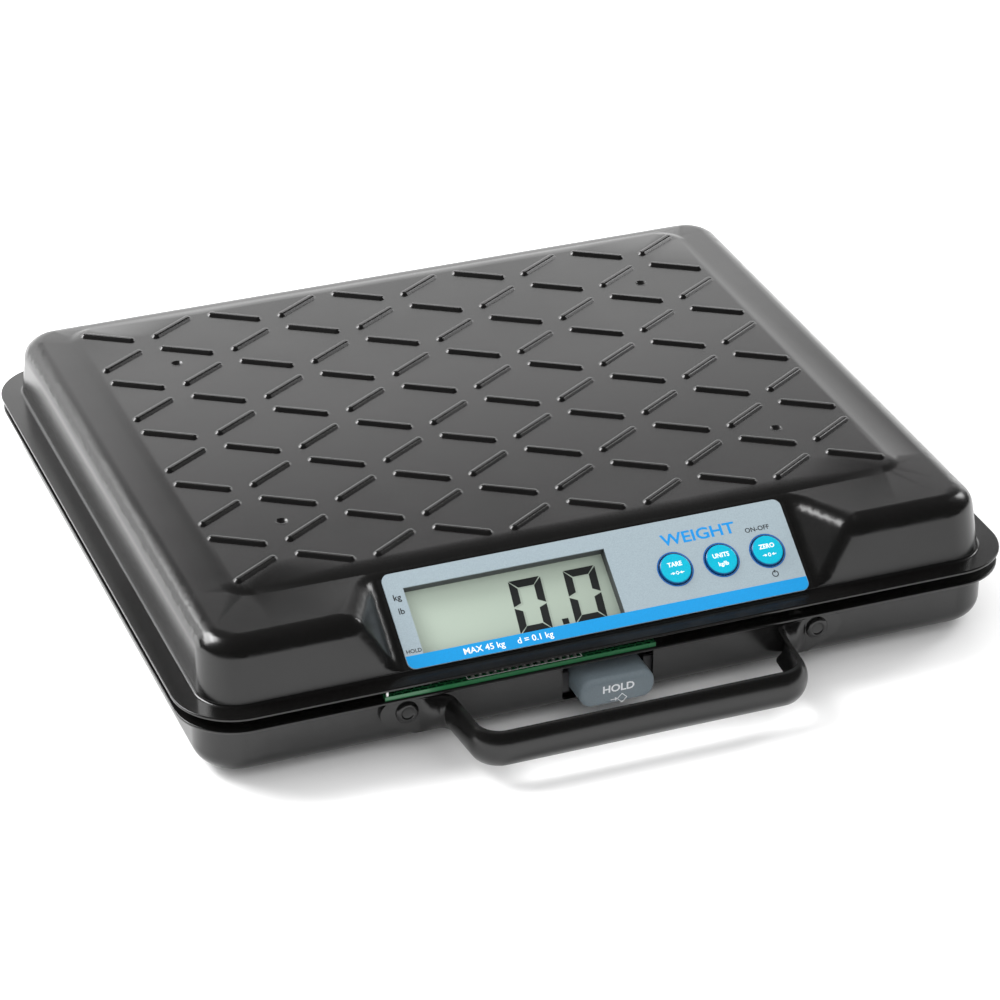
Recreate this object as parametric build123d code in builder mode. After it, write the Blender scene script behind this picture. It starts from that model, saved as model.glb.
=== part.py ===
from build123d import *
from math import atan2, cos, degrees, hypot, radians, tan
import os

os.makedirs("parts", exist_ok=True)

# ---------------------------------------------------------------- driving dimensions (mm)
# The frame: +Z up, +Y to the back, the display faces -Y. The origin is on the ground,
# under the middle of the whole object, which the handle makes longer towards the front.
WIDTH = 317.5
DEPTH = 278.1
HEIGHT = 55.9
GRIP_FRONT = 167.0  # front of the handle, from the middle of the platform
SHEET = 1.2
MIDDLE_Y = (GRIP_FRONT - DEPTH / 2) / 2  # where the middle of the platform stands

# Pressed cover
RIB_HEIGHT = 1.0
TREAD_STEP = 0.9
PLATEAU_Z = HEIGHT - RIB_HEIGHT - TREAD_STEP
RIM_Z = 31.0  # top of the cover's flange
RIM_RADIUS = 23.0
COVER_FLANGE = 8.6
VALLEY_RADIUS = 1.3  # where the flange turns up into the wall

# Lattice of ribs on the tread
RIBS_ACROSS = 10
RIBS_DEEP = 10
CELL_X = 25.98
CELL_Y = 21.14
LATTICE_Y = 11.9
RIB_LENGTH = 22.6
RIB_WIDTH = 3.9
RIB_SLOPE = 46.0  # the sides lean in this much from the upright
RIB_CREST = 1.2  # radius where the sides meet the top
RIB_ANGLE = 32.5
TREAD_MARGIN = 2.2
TREAD_TAPER = 76.0  # the step up to the tread is a gentle ramp
SHOULDER = 8.0  # rounding of the edges of the raised middle
EDGE_ROUND = 0.45  # rounding of the sheet's cut edges

# Sloping facet that carries the face panel: its local y runs up the slope
PANEL_TOP_Y = -101.7
PANEL_BOTTOM_Y = -131.9
PANEL_BOTTOM_Z = 32.5
PANEL_WIDTH = 154.0
PANEL_SHEET = 0.6
PANEL_RISE = PLATEAU_Z - PANEL_BOTTOM_Z
PANEL_LENGTH = hypot(PANEL_TOP_Y - PANEL_BOTTOM_Y, PANEL_RISE)
SLOPE = degrees(atan2(PANEL_RISE, PANEL_TOP_Y - PANEL_BOTTOM_Y))
FACET_HALF = 81.0
FACET_SIDE_ANGLE = 42.0

# Display window and keys, measured down the slope from the panel's top edge
WINDOW_LEFT = -70.2
WINDOW_RIGHT = 6.2
WINDOW_TOP = 6.2
WINDOW_BOTTOM = 32.5
KEY_X = {"tare": 29.7, "units": 47.8, "zero": 65.9}
KEY_DOWN = 19.4
KEY_RADIUS = 6.0
KEY_TRAVEL = 0.6
DISPLAY_DEPTH = 4.6
DISPLAY_THICK = 2.8
BOARD_DEPTH = 10.0
BOARD_THICK = 1.6

# Base tray
GROUND_GAP = 3.0
TRAY_RIM_Z = 25.4
TRAY_INSET = 0.7  # how far its flange stands inside the cover's
TRAY_FLANGE = 5.8
TRAY_BOTTOM_RADIUS = 7.5
TRAY_WALL_X = WIDTH / 2 - TRAY_INSET - TRAY_FLANGE
TRAY_WALL_Y = DEPTH / 2 - TRAY_INSET - TRAY_FLANGE
TRAY_WALL_RADIUS = RIM_RADIUS - TRAY_INSET - TRAY_FLANGE
FLOOR_Z = GROUND_GAP + SHEET

# Carry handle
STRIP_THICK = 1.5
STRIP_LOW = 7.5
STRIP_HIGH = 21.0
ARM_X = 65.0
GRIP_CORNER = 12.0
RIVET_X = 78.9
RIVET_Z = 17.0

# HOLD button
HOLD_X = -2.2
HOLD_WIDTH = 28.6
HOLD_LOW = 7.8
HOLD_HIGH = 19.0
HOLD_FRONT_Y = -142.4
HOLD_TRAVEL = 2.5
SLOT_WIDTH = 35.0
SLOT_LOW = 6.4
SLOT_HIGH = 23.0

# Load path
CELL_X_POS = 97.8
CELL_Y_BACK = 76.7
CELL_Y_FRONT = -54.4
PLATFORM_TRAVEL = 1.0
CHANNEL_WEB_Z = 17.0
HOLD_DOWN_Y = (35.0, -18.0)
POCKET_RISE = 3.2

# Batteries
CELL_RADIUS = 7.1
CELL_LENGTH = 49.2
CELL_PITCH = 15.0
BATTERY_Y = 44.0
BAY_X = 61.0
BAY_Y = 57.0
BOX_WALL = 1.6
DOOR_THICK = 1.3

CORNERS = {"back_left": (-1, 1), "back_right": (1, 1), "front_left": (-1, -1), "front_right": (1, -1)}
FOOT_X = 126.0
FOOT_Y = 106.0


def level(height, x=0.0, y=0.0):
    """A horizontal plane whose origin is given from the middle of the platform."""
    return Plane(origin=(x, MIDDLE_Y + y, height), x_dir=(1, 0, 0), z_dir=(0, 0, 1))


def facing_front(y, x=0.0, z=0.0):
    """An upright plane that looks forwards: its local x is +X and its local y is +Z."""
    return Plane(origin=(x, MIDDLE_Y + y, z), x_dir=(1, 0, 0), z_dir=(0, -1, 0))


def facet(depth, x=0.0, down=0.0):
    """A plane along the sloping facet, depth below the panel's face."""
    top = Plane(origin=(0, MIDDLE_Y + PANEL_TOP_Y, PLATEAU_Z), x_dir=(1, 0, 0), z_dir=(0, 0, 1))
    slope = top.rotated((SLOPE, 0, 0)).offset(-depth)
    return slope.shift_origin(slope.from_local_coords(Vector(x, -down, 0)))


def write(part, name):
    part.label = name
    export_step(part, f"parts/{name}.step")


def facet_area(depth, left, right, top, bottom, radius=0.0):
    """A sketch on the facet: its sides in x, its ends measured down the slope."""
    with BuildSketch(facet(depth, (left + right) / 2, (top + bottom) / 2)) as area:
        if radius:
            RectangleRounded(right - left, bottom - top, radius)
        else:
            Rectangle(right - left, bottom - top)
    return area.sketch


def window_area(depth, margin, radius=0.0):
    """The display window's outline on the facet, larger by a margin all round."""
    return facet_area(
        depth,
        WINDOW_LEFT - margin,
        WINDOW_RIGHT + margin,
        WINDOW_TOP - margin,
        WINDOW_BOTTOM + margin,
        radius,
    )


def glass_area(depth, margin, short=0.0):
    """The display glass's outline: larger by a margin, and shorter at its ends if asked."""
    return facet_area(
        depth,
        GLASS_LEFT - margin,
        GLASS_RIGHT + margin,
        GLASS_TOP - margin + short,
        GLASS_BOTTOM + margin - short,
    )


def disc(plane, radius):
    with BuildSketch(plane) as round_area:
        Circle(radius)
    return round_area.sketch


# ---------------------------------------------------------------- top cover
# How far the foot of the facet's side slopes moves out for each mm that the sheet lies below it
SIDE_OFFSET = 1 / cos(radians(FACET_SIDE_ANGLE)) - tan(radians(FACET_SIDE_ANGLE))


def raised_block(inset):
    """The cover's raised middle as a solid, with all its walls inset by the given amount."""
    foot_x = WIDTH - 2 * COVER_FLANGE - 2 * inset
    foot_y = DEPTH - 2 * COVER_FLANGE + 1.0 - 2 * inset
    roof = PLATEAU_Z - inset
    with BuildPart() as block:
        with BuildSketch(level(RIM_Z - inset, y=-0.5)):
            RectangleRounded(foot_x, foot_y, 14.5 - inset)
        with BuildSketch(level(roof, y=0.8)):
            RectangleRounded(foot_x - 3.6, foot_y - 6.4, 14.5 - inset)
        loft()
        with BuildSketch(facet(PANEL_SHEET + inset, down=20)):
            Rectangle(2 * (FACET_HALF + inset * SIDE_OFFSET), 110)
        extrude(amount=40, taper=-FACET_SIDE_ANGLE, mode=Mode.SUBTRACT)
        slants = block.edges().filter_by(
            lambda e: RIM_Z + 5 < e.center().Z < PLATEAU_Z - 2 and abs(e.center().X) < 100
        )
        fillet(slants, 6.0 - inset)
        fillet(block.edges().filter_by(lambda e: e.center().Z > roof - 0.1), SHOULDER - inset)
    return block.part


def make_rib():
    """One short rib along X with sloping sides and a rounded crest, sunk a little into the tread."""
    with BuildPart() as bar:
        with BuildSketch():
            SlotOverall(RIB_LENGTH, RIB_WIDTH)
        extrude(amount=RIB_HEIGHT, taper=RIB_SLOPE)
        fillet(bar.edges().group_by(Axis.Z)[-1], RIB_CREST)
        with BuildSketch():
            SlotOverall(RIB_LENGTH, RIB_WIDTH)
        extrude(amount=-0.3)
    return bar.part


def rib_places():
    """Where the ribs lie: one in each cell of the lattice, leaning the two ways in turn."""
    places = []
    for i in range(RIBS_ACROSS):
        for j in range(RIBS_DEEP):
            x = (i - (RIBS_ACROSS - 1) / 2) * CELL_X
            y = LATTICE_Y + ((RIBS_DEEP - 1) / 2 - j) * CELL_Y
            turn = -RIB_ANGLE if (i + j) % 2 == 0 else RIB_ANGLE
            places.append(Location((x, MIDDLE_Y + y, PLATEAU_Z + TREAD_STEP), (0, 0, turn)))
    return places


TREAD_X = RIBS_ACROSS * CELL_X + 2 * TREAD_MARGIN
TREAD_Y = RIBS_DEEP * CELL_Y + 2 * TREAD_MARGIN + 3.0

outer_block = raised_block(0.0)
inner_block = raised_block(SHEET)
rib = make_rib()


def flange_plate(height, inset):
    """A flat sheet with the outline of the rim, its cut edges rounded over."""
    with BuildPart() as plate:
        with BuildSketch(level(height)):
            RectangleRounded(WIDTH - 2 * inset, DEPTH - 2 * inset, RIM_RADIUS - inset)
        extrude(amount=-SHEET)
        fillet(plate.edges().group_by(Axis.Z)[0] + plate.edges().group_by(Axis.Z)[-1], EDGE_ROUND)
    return plate.part


cover_rim = flange_plate(RIM_Z, 0.0)

with BuildPart() as top_cover:
    add(outer_block)
    add(cover_rim)
    valley = top_cover.edges().filter_by(
        lambda e: abs(e.center().Z - RIM_Z) < 0.01
        and abs(e.center().X) < WIDTH / 2 - 8
        and abs(e.center().Y - MIDDLE_Y) < DEPTH / 2 - 8
    )
    fillet(valley, VALLEY_RADIUS)
    with BuildSketch(level(PLATEAU_Z, y=LATTICE_Y - 1.2)):
        RectangleRounded(TREAD_X, TREAD_Y, 11.0)
    extrude(amount=TREAD_STEP, taper=TREAD_TAPER)
    with Locations(*rib_places()):
        add(rib)
    for y in (CELL_Y_BACK, CELL_Y_FRONT):
        for side in (-1, 1):
            with Locations((side * CELL_X_POS, MIDDLE_Y + y, PLATEAU_Z + TREAD_STEP + 2.75)):
                Sphere(3.65, mode=Mode.SUBTRACT)
    add(inner_block, mode=Mode.SUBTRACT)
    extrude(window_area(0, 2.0, 1.0), amount=-3, mode=Mode.SUBTRACT)
    for x in KEY_X.values():
        extrude(disc(facet(0, x, KEY_DOWN), KEY_RADIUS + 1.4), amount=-3, mode=Mode.SUBTRACT)
write(top_cover.part, "top_cover")

# Studs welded to the back of the facet, which the indicator housing hangs on
STUD_PLACES = [(-77.6, 8.0), (-77.6, 30.0), (19.0, 5.0), (19.0, 33.0), (74.0, 5.0), (74.0, 33.0)]
STUD_RADIUS = 1.0
HOUSING_TOP_DEPTH = PANEL_SHEET + SHEET
HOUSING_THICK = 1.8
HOUSING_BACK_DEPTH = HOUSING_TOP_DEPTH + HOUSING_THICK

with BuildPart() as facet_studs:
    for x, down in STUD_PLACES:
        extrude(disc(facet(HOUSING_TOP_DEPTH, x, down), STUD_RADIUS), amount=-5.4)
write(facet_studs.part, "facet_studs")

with BuildPart() as stud_nuts:
    for x, down in STUD_PLACES:
        with BuildSketch(facet(HOUSING_BACK_DEPTH, x, down)):
            RegularPolygon(2.0, 6, major_radius=False)
            Circle(STUD_RADIUS, mode=Mode.SUBTRACT)
        extrude(amount=-2.0)
write(stud_nuts.part, "stud_nuts")

# ---------------------------------------------------------------- stiffening channels
CHANNEL_HALF = 12.0
CHANNEL_LIP = 9.0
CHANNEL_SHEET = 1.5
CHANNEL_LENGTH = 186.0
CHANNEL_Y = 12.0
COVER_UNDER_Z = PLATEAU_Z - SHEET
BOSS_RADIUS = 4.5
SHOULDER_RADIUS = 3.0
SCREW_PLACES = [(side * CELL_X_POS, y) for side in (-1, 1) for y in HOLD_DOWN_Y]


def hat_channel(x):
    """A hat-section channel: two lips against the cover, two legs and a web at the bottom."""
    low = CHANNEL_WEB_Z
    high = COVER_UNDER_Z
    middle = CHANNEL_HALF - CHANNEL_SHEET / 2
    line = [
        (-CHANNEL_HALF - CHANNEL_LIP, high - CHANNEL_SHEET / 2),
        (-middle, high - CHANNEL_SHEET / 2),
        (-middle, low + CHANNEL_SHEET / 2),
        (middle, low + CHANNEL_SHEET / 2),
        (middle, high - CHANNEL_SHEET / 2),
        (CHANNEL_HALF + CHANNEL_LIP, high - CHANNEL_SHEET / 2),
    ]
    with BuildPart() as channel:
        with BuildSketch(facing_front(CHANNEL_Y + CHANNEL_LENGTH / 2, x)):
            with BuildLine() as bends:
                FilletPolyline(*line, radius=2.0)
            trace(bends.line, line_width=CHANNEL_SHEET)
        extrude(amount=CHANNEL_LENGTH)
        for y in HOLD_DOWN_Y:
            extrude(disc(level(low - 1, x, y), 2.6), amount=4, mode=Mode.SUBTRACT)
    return channel.part


for side_name, side in (("left", -1), ("right", 1)):
    write(hat_channel(side * CELL_X_POS), f"channel_{side_name}")

POCKET_TOP_Z = FLOOR_Z + POCKET_RISE
BOSS_LOW_Z = POCKET_TOP_Z + PLATFORM_TRAVEL + 0.05

with BuildPart() as hold_down_bosses:
    for x, y in SCREW_PLACES:
        with BuildSketch(level(BOSS_LOW_Z, x, y)):
            Circle(BOSS_RADIUS)
            Circle(2.0, mode=Mode.SUBTRACT)
        extrude(amount=CHANNEL_WEB_Z - BOSS_LOW_Z)
write(hold_down_bosses.part, "hold_down_bosses")

with BuildPart() as hold_down_screws:
    head_high = FLOOR_Z + POCKET_RISE - SHEET - 0.05
    for x, y in SCREW_PLACES:
        extrude(disc(level(head_high, x, y), 5.0), amount=-1.9)
        extrude(disc(level(head_high, x, y), SHOULDER_RADIUS), amount=BOSS_LOW_Z - head_high)
        extrude(disc(level(BOSS_LOW_Z, x, y), 2.0), amount=6.0)
        with BuildSketch(level(head_high - 1.9, x, y)):
            RegularPolygon(1.5, 6, major_radius=False)
        extrude(amount=1.3, mode=Mode.SUBTRACT)
write(hold_down_screws.part, "hold_down_screws")

# ---------------------------------------------------------------- indicator
with BuildPart() as face_panel:
    extrude(facet_area(0, -PANEL_WIDTH / 2, PANEL_WIDTH / 2, 0, PANEL_LENGTH, 3.0), amount=-PANEL_SHEET)
    extrude(window_area(0, 0.0), amount=-PANEL_SHEET, mode=Mode.SUBTRACT)
    for x in KEY_X.values():
        extrude(disc(facet(0, x, KEY_DOWN), KEY_RADIUS + 0.35), amount=-PANEL_SHEET, mode=Mode.SUBTRACT)
write(face_panel.part, "face_panel")

GLASS_LEFT = WINDOW_LEFT - 3.5
GLASS_RIGHT = WINDOW_RIGHT + 3.5
GLASS_TOP = WINDOW_TOP - 3.0
GLASS_BOTTOM = WINDOW_BOTTOM + 3.0

POST_PLACES = [(-76.6, 19.0), (24.0, 8.0), (24.0, 31.0), (77.5, 19.0)]

with BuildPart() as indicator_housing:
    extrude(facet_area(HOUSING_TOP_DEPTH, -80.5, 80.0, 2.4, PANEL_LENGTH - 1.5, 2.0), amount=-HOUSING_THICK)
    # collar that rises through the cover to the back of the panel
    extrude(
        window_area(PANEL_SHEET, 1.6, 0.8),
        amount=-HOUSING_THICK - SHEET,
    )
    # raised seat round the display
    extrude(
        glass_area(HOUSING_BACK_DEPTH, 1.2),
        amount=-DISPLAY_DEPTH - DISPLAY_THICK + HOUSING_BACK_DEPTH,
    )
    extrude(glass_area(DISPLAY_DEPTH, 0.1), amount=-8, mode=Mode.SUBTRACT)
    extrude(window_area(0, 0.0), amount=-8, mode=Mode.SUBTRACT)
    for x in KEY_X.values():
        extrude(disc(facet(0, x, KEY_DOWN), KEY_RADIUS + 0.2), amount=-8, mode=Mode.SUBTRACT)
    for x, down in STUD_PLACES:
        extrude(disc(facet(0, x, down), STUD_RADIUS + 0.1), amount=-8, mode=Mode.SUBTRACT)
    for x, down in POST_PLACES:
        extrude(disc(facet(HOUSING_BACK_DEPTH, x, down), 2.2), amount=HOUSING_BACK_DEPTH - BOARD_DEPTH)
        extrude(disc(facet(BOARD_DEPTH, x, down), 0.8), amount=5, mode=Mode.SUBTRACT)
write(indicator_housing.part, "indicator_housing")

with BuildPart() as display_glass:
    extrude(glass_area(DISPLAY_DEPTH, 0.0), amount=-1.3)
    extrude(glass_area(DISPLAY_DEPTH + 1.3, 0.0, short=1.5), amount=-DISPLAY_THICK + 1.3)
write(display_glass.part, "display_glass")

STRIP_WIDTH = 2.0
HOLDER_TOP_DEPTH = DISPLAY_DEPTH + DISPLAY_THICK

STRIP_PLACES = (GLASS_TOP + 3.5, GLASS_BOTTOM - 3.5)


def strip_area(down, margin):
    """The outline of one contact strip, larger by a margin all round."""
    half = STRIP_WIDTH / 2 + margin
    left = GLASS_LEFT + 4 - margin
    right = GLASS_RIGHT - 4 + margin
    return facet_area(HOLDER_TOP_DEPTH, left, right, down - half, down + half)


with BuildPart() as elastomer_strips:
    for down in STRIP_PLACES:
        extrude(strip_area(down, 0.0), amount=HOLDER_TOP_DEPTH - BOARD_DEPTH)
write(elastomer_strips.part, "elastomer_strips")

with BuildPart() as display_holder:
    extrude(
        facet_area(HOLDER_TOP_DEPTH, GLASS_LEFT + 1, GLASS_RIGHT - 1, GLASS_TOP + 1, GLASS_BOTTOM - 1),
        amount=HOLDER_TOP_DEPTH - BOARD_DEPTH,
    )
    extrude(
        facet_area(HOLDER_TOP_DEPTH, GLASS_LEFT + 6, GLASS_RIGHT - 6, GLASS_TOP + 7, GLASS_BOTTOM - 7),
        amount=-5,
        mode=Mode.SUBTRACT,
    )
    for down in STRIP_PLACES:
        extrude(strip_area(down, 0.1), amount=-5, mode=Mode.SUBTRACT)
write(display_holder.part, "display_holder")

with BuildPart() as main_board:
    extrude(facet_area(BOARD_DEPTH, -80.5, 81.0, 1.0, 36.0), amount=-BOARD_THICK)
    for x, down in POST_PLACES:
        extrude(disc(facet(BOARD_DEPTH - 1, x, down), 1.1), amount=-4, mode=Mode.SUBTRACT)
write(main_board.part, "main_board")

BOARD_BACK = BOARD_DEPTH + BOARD_THICK

with BuildPart() as board_screws:
    for x, down in POST_PLACES:
        extrude(disc(facet(BOARD_BACK, x, down), 2.0), amount=-1.4)
        extrude(disc(facet(BOARD_BACK, x, down), 0.8), amount=BOARD_THICK + 4.5)
write(board_screws.part, "board_screws")

with BuildPart() as board_chips:
    extrude(facet_area(BOARD_BACK, -56, -44, 12, 24, 0.5), amount=-1.6)
    extrude(facet_area(BOARD_BACK, -34, -24, 14, 20, 0.3), amount=-1.5)
    extrude(facet_area(BOARD_BACK, -12, -7, 12, 24), amount=-3.5)
    extrude(facet_area(BOARD_BACK, 34, 50, 6, 12), amount=-6.0)
    extrude(facet_area(BOARD_BACK, 34, 60, 24, 30), amount=-6.0)
write(board_chips.part, "board_chips")

SWITCH_TOP = 6.9
KEY_FLANGE_DEPTH = HOUSING_BACK_DEPTH + 0.1
with BuildPart() as key_switches:
    for x in KEY_X.values():
        extrude(facet_area(BOARD_DEPTH, x - 3, x + 3, KEY_DOWN - 3, KEY_DOWN + 3), amount=2.3)
        extrude(disc(facet(BOARD_DEPTH - 2.3, x, KEY_DOWN), 1.7), amount=BOARD_DEPTH - 2.3 - SWITCH_TOP)
write(key_switches.part, "key_switches")


def round_key(x):
    """A key cap with a low dome, a flange that keeps it under the housing and a stem."""
    with BuildPart() as cap:
        extrude(disc(facet(KEY_FLANGE_DEPTH, x, KEY_DOWN), KEY_RADIUS), amount=KEY_FLANGE_DEPTH + 0.9)
        fillet(cap.edges().sort_by(lambda e: e.center().Z)[-1], 0.8)
        extrude(disc(facet(KEY_FLANGE_DEPTH, x, KEY_DOWN), KEY_RADIUS + 1.2), amount=-0.9)
        stem = KEY_FLANGE_DEPTH - SWITCH_TOP + KEY_TRAVEL + 0.05
        extrude(disc(facet(KEY_FLANGE_DEPTH, x, KEY_DOWN), 2.2), amount=stem)
    return cap.part


for key_name, key_x in KEY_X.items():
    write(round_key(key_x), f"key_{key_name}")

# ---------------------------------------------------------------- base tray
JACK_X = -70.0
JACK_Z = 15.5
FOOT_PLACES = {name: (x * FOOT_X, y * FOOT_Y) for name, (x, y) in CORNERS.items()}
LOAD_PLACES = {
    name: (x * CELL_X_POS, CELL_Y_BACK if y > 0 else CELL_Y_FRONT) for name, (x, y) in CORNERS.items()
}
CELL_SCREW_OFFSET = 13.0

with BuildPart() as tray_hollow:
    with BuildSketch(level(FLOOR_Z)):
        RectangleRounded(2 * (TRAY_WALL_X - SHEET), 2 * (TRAY_WALL_Y - SHEET), TRAY_WALL_RADIUS - SHEET)
    extrude(amount=TRAY_RIM_Z - FLOOR_Z)
    fillet(tray_hollow.edges().group_by(Axis.Z)[0], TRAY_BOTTOM_RADIUS - SHEET)

tray_rim = flange_plate(TRAY_RIM_Z, TRAY_INSET)
OUTLINE_REACH = 199.0  # the corners of the flange's outline lie further from the middle than this

with BuildPart() as base_tray:
    with BuildSketch(level(GROUND_GAP)):
        RectangleRounded(2 * TRAY_WALL_X, 2 * TRAY_WALL_Y, TRAY_WALL_RADIUS)
    extrude(amount=TRAY_RIM_Z - GROUND_GAP)
    fillet(base_tray.edges().group_by(Axis.Z)[0], TRAY_BOTTOM_RADIUS)
    add(tray_rim)
    under_flange = base_tray.edges().filter_by(
        lambda e: abs(e.center().Z - TRAY_RIM_Z + SHEET) < 0.01
        and abs(e.center().X) < WIDTH / 2 - 6.2
        and abs(e.center().Y - MIDDLE_Y) < DEPTH / 2 - 6.2
        and hypot(e.center().X, e.center().Y - MIDDLE_Y) < OUTLINE_REACH
    )
    fillet(under_flange, 2.0)
    add(tray_hollow.part, mode=Mode.SUBTRACT)
    # slot for the HOLD button
    with BuildSketch(facing_front(-TRAY_WALL_Y - 2, HOLD_X, (SLOT_LOW + SLOT_HIGH) / 2)):
        RectangleRounded(SLOT_WIDTH, SLOT_HIGH - SLOT_LOW, 2.5)
    extrude(amount=-10, mode=Mode.SUBTRACT)
    # opening under the batteries
    with BuildSketch(level(0, y=BATTERY_Y)):
        Rectangle(BAY_X + 2 * BOX_WALL + 0.6, BAY_Y + 2 * BOX_WALL + 0.6)
    extrude(amount=FLOOR_Z + 1, mode=Mode.SUBTRACT)
    for x, y in FOOT_PLACES.values():
        extrude(disc(level(0, x, y), 1.6), amount=FLOOR_Z + 1, mode=Mode.SUBTRACT)
    for x, y in LOAD_PLACES.values():
        for dx in (-CELL_SCREW_OFFSET, CELL_SCREW_OFFSET):
            extrude(disc(level(0, x + dx, y), 1.6), amount=FLOOR_Z + 1, mode=Mode.SUBTRACT)
    # pockets pressed up for the heads of the shoulder screws
    for x, y in SCREW_PLACES:
        extrude(disc(level(FLOOR_Z - 0.2, x, y), 9.0), amount=POCKET_RISE + 0.2, taper=12)
        extrude(disc(level(GROUND_GAP, x, y), 7.6), amount=POCKET_RISE, taper=12, mode=Mode.SUBTRACT)
        extrude(disc(level(FLOOR_Z, x, y), SHOULDER_RADIUS + 0.4), amount=6, mode=Mode.SUBTRACT)
    for side in (-1, 1):
        extrude(
            disc(facing_front(-TRAY_WALL_Y - 2, side * RIVET_X, RIVET_Z), 2.1),
            amount=-5,
            mode=Mode.SUBTRACT,
        )
    extrude(disc(facing_front(TRAY_WALL_Y + 2, JACK_X, JACK_Z), 5.0), amount=6, mode=Mode.SUBTRACT)
write(base_tray.part, "base_tray")

# Narrow board that lies on the tray's front flange, in the gap below the cover
EDGE_BOARD_LEFT = -88.0
EDGE_BOARD_RIGHT = 14.0

with BuildPart() as edge_board:
    with BuildSketch(level(TRAY_RIM_Z, (EDGE_BOARD_LEFT + EDGE_BOARD_RIGHT) / 2, -133.25)):
        Rectangle(EDGE_BOARD_RIGHT - EDGE_BOARD_LEFT, 8.5)
    extrude(amount=BOARD_THICK)
write(edge_board.part, "edge_board")

# ---------------------------------------------------------------- carry handle
WALL_FACE_Y = -TRAY_WALL_Y - 0.02
CROWN = 2.5
GRIP_BACK_Y = -GRIP_FRONT + CROWN + STRIP_THICK
STRIP_MIDDLE = (STRIP_LOW + STRIP_HIGH) / 2
ARM_TOP_X = -62.4
ARM_END_X = -60.0
EAR_RADIUS = 5.0
EAR_END_X = -83.8
EAR_END_Z = 17.2
SWEEP_START_X = -70.0


def strip_section(plane, crown):
    """The bent strip's cross-section: back edges on the plane's origin, crowned outwards."""
    half = (STRIP_HIGH - STRIP_LOW) / 2
    back = (0, crown)
    face = (0, crown + STRIP_THICK)
    with BuildSketch(plane) as section:
        with BuildLine():
            ThreePointArc((-half, 0), (back[0], back[1]), (half, 0))
            Line((half, 0), (half, STRIP_THICK))
            ThreePointArc((half, STRIP_THICK), (face[0], face[1]), (-half, STRIP_THICK))
            Line((-half, STRIP_THICK), (-half, 0))
        make_face()
    return section.sketch


with BuildPart() as half_handle:
    # ear: a flat plate against the wall, round at its free end
    with BuildSketch(facing_front(WALL_FACE_Y)) as ear:
        with Locations((EAR_END_X, EAR_END_Z)):
            Circle(EAR_RADIUS)
        with Locations((SWEEP_START_X - 3.0, STRIP_MIDDLE)):
            Rectangle(6.0, STRIP_HIGH - STRIP_LOW)
        make_hull()
        with Locations((-RIVET_X, RIVET_Z)):
            Circle(2.1, mode=Mode.SUBTRACT)
    extrude(amount=STRIP_THICK)
    # the strip swells to its crowned section, then bends out, along and round to the grip
    begin = Plane(
        origin=(SWEEP_START_X, MIDDLE_Y + WALL_FACE_Y, STRIP_MIDDLE), x_dir=(0, 0, 1), z_dir=(1, 0, 0)
    )
    flat = strip_section(begin.offset(-4.4), 0.05)
    crowned = strip_section(begin, CROWN)
    loft(sections=[flat, crowned])
    with BuildLine() as route:
        FilletPolyline(
            (SWEEP_START_X, MIDDLE_Y + WALL_FACE_Y, STRIP_MIDDLE),
            (ARM_TOP_X, MIDDLE_Y + WALL_FACE_Y, STRIP_MIDDLE),
            (ARM_END_X, MIDDLE_Y + GRIP_BACK_Y, STRIP_MIDDLE),
            (0, MIDDLE_Y + GRIP_BACK_Y, STRIP_MIDDLE),
            radius=[5.5, 8.0],
        )
    sweep(crowned, path=route.line)

with BuildPart() as carry_handle:
    add(half_handle.part)
    mirror(half_handle.part, about=Plane.YZ)
write(carry_handle.part, "carry_handle")

EAR_FACE_Y = WALL_FACE_Y - STRIP_THICK

with BuildPart() as handle_rivets:
    for side in (-1, 1):
        with BuildSketch(facing_front(EAR_FACE_Y - 0.02, side * RIVET_X, RIVET_Z)):
            Circle(4.2)
        extrude(amount=1.6, taper=32)
        fillet(handle_rivets.edges().group_by(Axis.Y)[0], 1.2)
        extrude(disc(facing_front(EAR_FACE_Y - 0.02, side * RIVET_X, RIVET_Z), 2.05), amount=-4.2)
        extrude(disc(facing_front(-TRAY_WALL_Y + SHEET + 0.02, side * RIVET_X, RIVET_Z), 3.4), amount=-1.2)
write(handle_rivets.part, "handle_rivets")

# ---------------------------------------------------------------- feet
FOOT_RADIUS = 9.0
for corner, (x, y) in FOOT_PLACES.items():
    with BuildPart() as rubber_foot:
        extrude(disc(level(GROUND_GAP, x, y), FOOT_RADIUS), amount=-GROUND_GAP, taper=8)
        fillet(rubber_foot.edges().group_by(Axis.Z)[0], 0.6)
        extrude(disc(level(0, x, y), 4.0), amount=1.8, mode=Mode.SUBTRACT)
        extrude(disc(level(0, x, y), 1.6), amount=GROUND_GAP, mode=Mode.SUBTRACT)
    write(rubber_foot.part, f"rubber_foot_{corner}")

with BuildPart() as foot_screws:
    for x, y in FOOT_PLACES.values():
        extrude(disc(level(1.8, x, y), 3.0), amount=-1.3)
        extrude(disc(level(1.8, x, y), 1.5), amount=5.2)
        with BuildSketch(level(0.5, x, y)):
            Rectangle(3.4, 0.7)
            Rectangle(0.7, 3.4)
        extrude(amount=0.8, mode=Mode.SUBTRACT)
write(foot_screws.part, "foot_screws")

with BuildPart() as foot_nuts:
    for x, y in FOOT_PLACES.values():
        with BuildSketch(level(FLOOR_Z, x, y)):
            RegularPolygon(2.75, 6, major_radius=False)
            Circle(1.5, mode=Mode.SUBTRACT)
        extrude(amount=2.4)
write(foot_nuts.part, "foot_nuts")

# ---------------------------------------------------------------- load cells
MOUNT_SIZE = 38.0
MOUNT_HEIGHT = 4.0
PLATE_SIZE = 34.0
PLATE_THICK = 2.5
TONGUE_HALF = 8.0
PLATE_LOW = FLOOR_Z + MOUNT_HEIGHT
PLATE_TOP = PLATE_LOW + PLATE_THICK
BUTTON_HEIGHT = 2.6

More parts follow.
